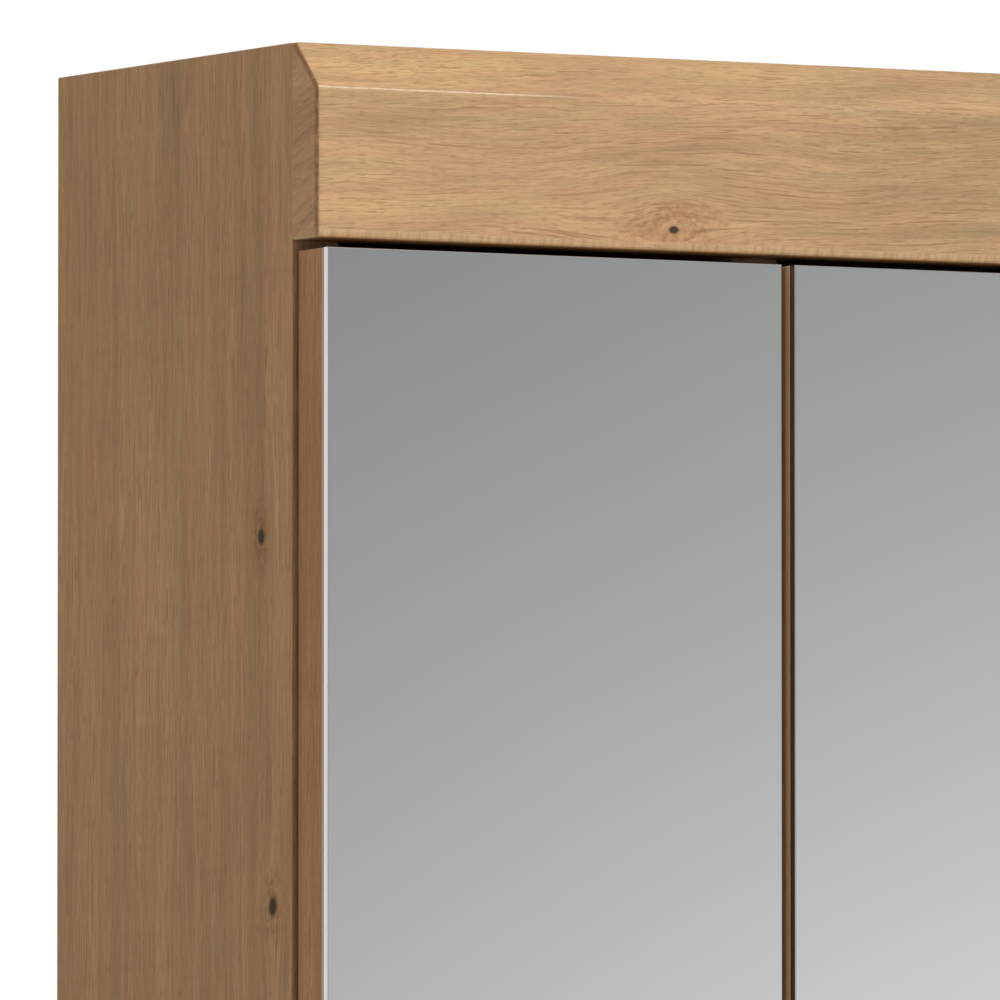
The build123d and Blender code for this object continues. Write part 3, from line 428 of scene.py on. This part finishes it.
def set_material(node, material):
    """Gives a CAD node one material."""
    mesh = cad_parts[node].data
    mesh.materials.clear()
    mesh.materials.append(material)


side_knots = (Knot(216.7, -56.5, 2.7, 2.1, 8.0, 5.0), Knot(104.7, -64.0, 3.3, 2.8, 8.0, 5.0))
cornice_knots = (Knot(-202.0, -23.4, 1.9, 1.3, 13.0, 9.0),)
upright_boards = ("side_panel_left", "side_panel_right", "divider_left", "divider_right")
door_boards = ("door_board_left", "door_board_centre", "door_board_right")
cross_boards = ("top_panel", "bottom_panel")
for number, node in enumerate(upright_boards):
    seed = 3.7 + 9.1 * number
    knots = side_knots if node == "side_panel_left" else ()
    finish = side_bands if node.startswith("side") else front_banding_and_shade
    set_material(node, oak_material(node, "zyx", seed, UPRIGHT_PRINT, SIDE_TONE, knots, finish))
for number, node in enumerate(door_boards):
    seed = 51.3 + 7.7 * number
    set_material(node, oak_material(node, "zxy", seed, UPRIGHT_PRINT, SIDE_TONE, (), door_edges))
for number, node in enumerate(cross_boards):
    set_material(node, oak_material(node, "xyz", 83.9 + 5.3 * number, UPRIGHT_PRINT, SIDE_TONE, (), front_banding_and_shade))
set_material("cornice_board", oak_material("cornice_board", "xzy", 101.1, FRONT_PRINT, FACE_TONE,
                                           cornice_knots, cornice_finish))
set_material("hanging_rail", oak_material("hanging_rail", "xzy", 107.2, FRONT_PRINT, FACE_TONE))


# ---------------------------------------------------------------- other materials
def back_board_material(node):
    """Thin hardboard: oak print towards the inside, brown pressed fibre towards the wall."""
    low_corner, high_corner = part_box(node)
    shader = Shader("back_board")
    print_colour, height, rough = oak(shader, *"zxy", (low_corner + high_corner) / 2, 131.7, UPRIGHT_PRINT)
    place = shader.vector(*shader.place())
    fibre = shader.noise(place, 5.0, 0.7, 0.9)
    mottle = shader.noise(place, 4.0, 0.65, 0.11)
    tone = shader.math("MULTIPLY_ADD", mottle, 0.45, shader.math("MULTIPLY", fibre, 0.75))
    brown = shader.mix(shader.remap(tone, 0.35, 0.85), colour(0.185, 0.108, 0.056), colour(0.315, 0.200, 0.112))
    outside = shader.remap(shader.facing()[1], 0.4, 0.6)
    shader.feed(shader.surface.inputs["Base Color"], shader.mix(outside, print_colour, brown))
    shader.feed(shader.surface.inputs["Roughness"], shader.mix_value(outside, rough, 0.82))
    shader.bump(shader.mix_value(outside, height, fibre), 0.3, 0.12)
    return shader.material


# A duller tone for the ground bevel, also used as painted shade on the upper edges under the cornice.
BEVEL_GLASS_AND_SHADE = colour(0.47, 0.48, 0.48)
# Painted shade: mirror edges that face another door are dark brown, as their reflection of the shaded gap.
INNER_GLASS_SHADE = colour(0.34, 0.30, 0.26)


def mirror_material(node):
    """Silvered float glass: a clean reflecting face, greener near its rim, pale ground edges and a glued joint
    line, with painted shade on that joint, on the upper edges and on the edges that face another door.
    """
    low_corner, high_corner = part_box(node)
    centre = (low_corner + high_corner) / 2
    shader = Shader("mirror_" + node)
    here = shader.place()
    place = shader.vector(*here)
    facing = shader.facing()
    smudge = shader.noise(place, 4.0, 0.6, 0.012)
    grind = shader.noise(place, 4.0, 0.7, 1.7)
    front = shader.remap(shader.math("ABSOLUTE", facing[1]), 0.85, 0.95)
    face = shader.mix(smudge, colour(0.900, 0.905, 0.903), colour(0.925, 0.928, 0.926))
    rim = shader.remap(edge_distance(shader, centre, (high_corner - low_corner) / 2), 2.4, 0.4, 0.0, 0.7)
    face = shader.mix(rim, face, colour(0.880, 0.925, 0.935))
    edge = shader.mix(grind, colour(0.84, 0.81, 0.80), colour(0.93, 0.90, 0.88))
    inner = shader.math("LESS_THAN", shader.math("ABSOLUTE", here[0]), INNER_EDGES)
    sideways = shader.math("ABSOLUTE", facing[0])
    bevel = shader.math("MULTIPLY", shader.remap(facing[1], -0.2, -0.5), shader.remap(sideways, 0.2, 0.5))
    # Painted shade darkens the edges that face the gaps between doors.
    edge = shader.mix(shader.math("MULTIPLY", inner, shader.remap(sideways, 0.5, 0.9)), edge, INNER_GLASS_SHADE)
    edge = shader.mix(bevel, edge, BEVEL_GLASS_AND_SHADE)
    # Painted shade dulls the upper edges under the cornice.
    edge = shader.mix(shader.remap(facing[2], 0.2, 0.6), edge, BEVEL_GLASS_AND_SHADE)
    # A glued joint at the back of the edge, darkened by painted shade in the gap.
    glue_shade = shader.remap(shader.place(high_corner)[1], -0.42, -0.26)
    edge = shader.mix(glue_shade, edge, colour(0.16, 0.11, 0.075))
    shader.feed(shader.surface.inputs["Base Color"], shader.mix(front, edge, face))
    shader.surface.inputs["Metallic"].default_value = 1.0
    face_rough = shader.math("MULTIPLY_ADD", smudge, 0.012, 0.004)
    edge_rough = shader.math("MULTIPLY_ADD", grind, 0.12, 0.30)
    shader.feed(shader.surface.inputs["Roughness"], shader.mix_value(front, edge_rough, face_rough))
    return shader.material


def shelf_glass_material():
    """Clear glass with greenish ground edges."""
    shader = Shader("shelf_glass")
    place = shader.vector(*shader.place())
    grind = shader.noise(place, 4.0, 0.7, 1.3)
    smudge = shader.noise(place, 3.0, 0.6, 0.02)
    face = shader.remap(shader.math("ABSOLUTE", shader.facing()[2]), 0.85, 0.95)
    edge = shader.mix(grind, colour(0.36, 0.62, 0.52), colour(0.55, 0.78, 0.68))
    shader.feed(shader.surface.inputs["Base Color"], shader.mix(face, edge, colour(0.93, 0.98, 0.955)))
    edge_rough = shader.math("MULTIPLY_ADD", grind, 0.25, 0.2)
    face_rough = shader.math("MULTIPLY_ADD", smudge, 0.03, 0.0)
    shader.feed(shader.surface.inputs["Roughness"], shader.mix_value(face, edge_rough, face_rough))
    shader.surface.inputs["Transmission Weight"].default_value = 1.0
    shader.surface.inputs["IOR"].default_value = 1.52
    return shader.material


def metal_material(name, dark, light, rough_low, rough_high, stretch=(1.0, 1.0, 1.0), scale=1.0, bumpiness=0.1):
    """Plated or cast metal with fine streaks or grain in its colour, gloss and height."""
    shader = Shader(name)
    x, y, z = shader.place()
    fine = shader.vector(shader.math("MULTIPLY", x, stretch[0]), shader.math("MULTIPLY", y, stretch[1]),
                         shader.math("MULTIPLY", z, stretch[2]))
    scratch = shader.noise(fine, 4.0, 0.65, scale)
    cloud = shader.noise(shader.vector(x, y, z), 3.0, 0.5, 0.09)
    tone = shader.remap(shader.math("MULTIPLY_ADD", cloud, 0.6, shader.math("MULTIPLY", scratch, 0.4)), 0.3, 0.7)
    shader.feed(shader.surface.inputs["Base Color"], shader.mix(tone, dark, light))
    shader.surface.inputs["Metallic"].default_value = 1.0
    shader.feed(shader.surface.inputs["Roughness"], shader.remap(scratch, 0.25, 0.75, rough_low, rough_high))
    shader.bump(scratch, bumpiness, 0.05)
    return shader.material


def beech_material():
    """Raw beech dowels with short darker flecks."""
    shader = Shader("beech")
    x, y, z = shader.place()
    grain = shader.noise(shader.vector(shader.math("DIVIDE", x, 7.0), y, z), 4.0, 0.6, 1.4)
    fleck = shader.noise(shader.vector(shader.math("DIVIDE", x, 3.0), y, z), 1.0, 0.5, 3.2)
    base = shader.mix(shader.remap(grain, 0.3, 0.7), colour(0.50, 0.33, 0.19), colour(0.66, 0.47, 0.30))
    base = shader.mix(shader.remap(fleck, 0.6, 0.72, 0.0, 0.5), base, colour(0.30, 0.17, 0.09))
    shader.feed(shader.surface.inputs["Base Color"], base)
    shader.feed(shader.surface.inputs["Roughness"], shader.math("MULTIPLY_ADD", grain, 0.2, 0.6))
    shader.bump(grain, 0.3, 0.1)
    return shader.material


def bumper_material():
    """Clear soft bumpers, slightly cloudy."""
    shader = Shader("bumper_rubber")
    cloud = shader.noise(shader.vector(*shader.place()), 3.0, 0.6, 0.8)
    base = shader.mix(cloud, colour(0.78, 0.79, 0.78), colour(0.93, 0.93, 0.92))
    shader.feed(shader.surface.inputs["Base Color"], base)
    shader.feed(shader.surface.inputs["Roughness"], shader.math("MULTIPLY_ADD", cloud, 0.25, 0.25))
    shader.surface.inputs["Transmission Weight"].default_value = 0.6
    shader.surface.inputs["IOR"].default_value = 1.47
    shader.bump(cloud, 0.15, 0.05)
    return shader.material


nickel = metal_material("nickelled_steel", colour(0.50, 0.48, 0.45), colour(0.68, 0.66, 0.62), 0.20, 0.36,
                        (1.0, 0.12, 1.0), 2.2)
zinc = metal_material("zinc_steel", colour(0.44, 0.46, 0.50), colour(0.66, 0.67, 0.66), 0.28, 0.46,
                      (1.0, 1.0, 1.0), 1.6)
cast_zinc = metal_material("cam_zinc", colour(0.34, 0.34, 0.35), colour(0.50, 0.50, 0.50), 0.46, 0.66,
                           (1.0, 1.0, 1.0), 2.6, 0.35)
support_metal = metal_material("support_metal", colour(0.52, 0.51, 0.49), colour(0.70, 0.69, 0.66), 0.22, 0.34,
                               (0.15, 1.0, 1.0), 2.4)
slot_materials = {
    "back_board": back_board_material("back_panel"),
    "shelf_glass": shelf_glass_material(),
    "nickelled_steel": nickel,
    "zinc_steel": zinc,
    "cam_zinc": cast_zinc,
    "beech": beech_material(),
    "support_metal": support_metal,
    "bumper_rubber": bumper_material(),
}
for node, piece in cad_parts.items():
    slot_name = piece.data.materials[0].name
    if slot_name in slot_materials:
        set_material(node, slot_materials[slot_name])
    elif slot_name == "mirror_glass":
        set_material(node, mirror_material(node))


# ---------------------------------------------------------------- floor, reflected room and light
def stage_sheet(name, corners, material):
    """A flat four-cornered sheet for the stage."""
    mesh = bpy.data.meshes.new(name)
    mesh.from_pydata(corners, [], [(0, 1, 2, 3)])
    mesh.materials.append(material)
    sheet = bpy.data.objects.new(name, mesh)
    bpy.context.scene.collection.objects.link(sheet)
    sheet.visible_diffuse = False


def floor_material():
    shader = Shader("studio_floor")
    cloud = shader.noise(shader.vector(*shader.place()), 3.0, 0.5, 0.0015)
    base = shader.mix(cloud, colour(0.86, 0.86, 0.855), colour(0.89, 0.89, 0.885))
    shader.feed(shader.surface.inputs["Base Color"], base)
    shader.surface.inputs["Roughness"].default_value = 0.9
    return shader.material


FLOOR_REACH = 200.0
floor_corners = [(-FLOOR_REACH, -FLOOR_REACH, low.z), (FLOOR_REACH, -FLOOR_REACH, low.z),
                 (FLOOR_REACH, FLOOR_REACH, low.z), (-FLOOR_REACH, FLOOR_REACH, low.z)]
stage_sheet("studio_floor", floor_corners, floor_material())


# The glow: its middle, width, peak and floor, in metres and as light.
GLOW_RIGHT = 1.2031
GLOW_UP = -0.3780
GLOW_WIDTH = 0.5368
GLOW_PEAK = 2.9207
GLOW_FLOOR = 0.1688
GLOW_ROUNDING = 0.25
GLOW_LIMIT = 0.95
FLOOR_GLOW = 0.73  # the foot of the wall fades into the pale floor
WALL_RADIUS = 1.5
WALL_HEIGHT = 3.0
WALL_STEPS = 64


def room_glow_material():
    """What the mirrors see: a dim wall that gets brighter towards lit areas low on both sides."""
    shader = Shader("room_glow")
    shader.tree.nodes.remove(shader.surface)
    x, y, z = shader.place()
    right = shader.math("DIVIDE", x, MM)
    up = shader.math("DIVIDE", z, MM)
    outward = shader.math("SQRT", shader.math("MULTIPLY_ADD", right, right, GLOW_ROUNDING ** 2))
    off_right = shader.math("SUBTRACT", outward, GLOW_RIGHT)
    off_up = shader.math("SUBTRACT", up, GLOW_UP)
    right_squared = shader.math("MULTIPLY", off_right, off_right)
    up_squared = shader.math("MULTIPLY", off_up, off_up)
    reach = shader.math("DIVIDE", shader.math("ADD", right_squared, up_squared), -2.0 * GLOW_WIDTH ** 2)
    glow = shader.math("MULTIPLY_ADD", shader.math("EXPONENT", reach), GLOW_PEAK, GLOW_FLOOR)
    glow = shader.math("MINIMUM", glow, GLOW_LIMIT)
    glow = shader.mix_value(shader.remap(up, 0.44, 0.0), glow, FLOOR_GLOW)
    emission = shader.add("ShaderNodeEmission", {"Color": colour(1.0, 1.0, 1.0), "Strength": glow})
    shader.feed(shader.tree.nodes["Material Output"].inputs["Surface"], emission)
    return shader.material


def room_wall():
    """A half round wall in front of the cabinet that only reflections see."""
    points = []
    faces = []
    for step in range(WALL_STEPS + 1):
        turn = math.pi * step / WALL_STEPS
        x = WALL_RADIUS * math.cos(turn)
        y = -WALL_RADIUS * math.sin(turn)
        points += [(x, y, low.z), (x, y, low.z + WALL_HEIGHT)]
        if step:
            start = 2 * step
            faces.append((start - 2, start - 1, start + 1, start))
    mesh = bpy.data.meshes.new("room_wall")
    mesh.from_pydata(points, [], faces)
    mesh.materials.append(room_glow_material())
    wall = bpy.data.objects.new("room_wall", mesh)
    bpy.context.scene.collection.objects.link(wall)
    wall.visible_camera = False
    wall.visible_diffuse = False
    wall.visible_shadow = False
    wall.visible_transmission = False


room_wall()


BACKDROP_FOR_SURFACES = 0.41
BACKDROP_FOR_REFLECTIONS = 0.78
KEY_TOWARD = (0.28, -0.77, 0.574)
KEY_STRENGTH = 0.74 * math.pi
KEY_SPREAD = 40.0


def studio_world():
    """Even soft light from all round, in front of a white backdrop."""
    world = bpy.data.worlds.new("studio")
    world.use_nodes = True
    tree = world.node_tree
    background = tree.nodes["Background"]
    ray = tree.nodes.new("ShaderNodeLightPath")
    seen = tree.nodes.new("ShaderNodeMath")
    seen.operation = "MAXIMUM"
    # The camera sees it at 1.0. Reflections and the light on surfaces take less.
    glossy = tree.nodes.new("ShaderNodeMapRange")
    glossy.inputs["To Min"].default_value = BACKDROP_FOR_SURFACES
    glossy.inputs["To Max"].default_value = BACKDROP_FOR_REFLECTIONS
    tree.links.new(ray.outputs["Is Glossy Ray"], glossy.inputs["Value"])
    tree.links.new(glossy.outputs[0], seen.inputs[0])
    tree.links.new(ray.outputs["Is Camera Ray"], seen.inputs[1])
    tree.links.new(seen.outputs[0], background.inputs["Strength"])
    background.inputs["Color"].default_value = colour(1.0, 1.0, 1.0)
    bpy.context.scene.world = world


studio_world()


def soft_sun(name, toward, strength, spread):
    """A broad soft light that shines the same everywhere. toward points at the light."""
    light = bpy.data.lights.new(name, "SUN")
    light.energy = strength
    light.angle = math.radians(spread)
    lamp = bpy.data.objects.new(name, light)
    lamp.rotation_euler = Vector(toward).to_track_quat("Z", "Y").to_euler()
    bpy.context.scene.collection.objects.link(lamp)


soft_sun("key_light", KEY_TOWARD, KEY_STRENGTH, KEY_SPREAD)
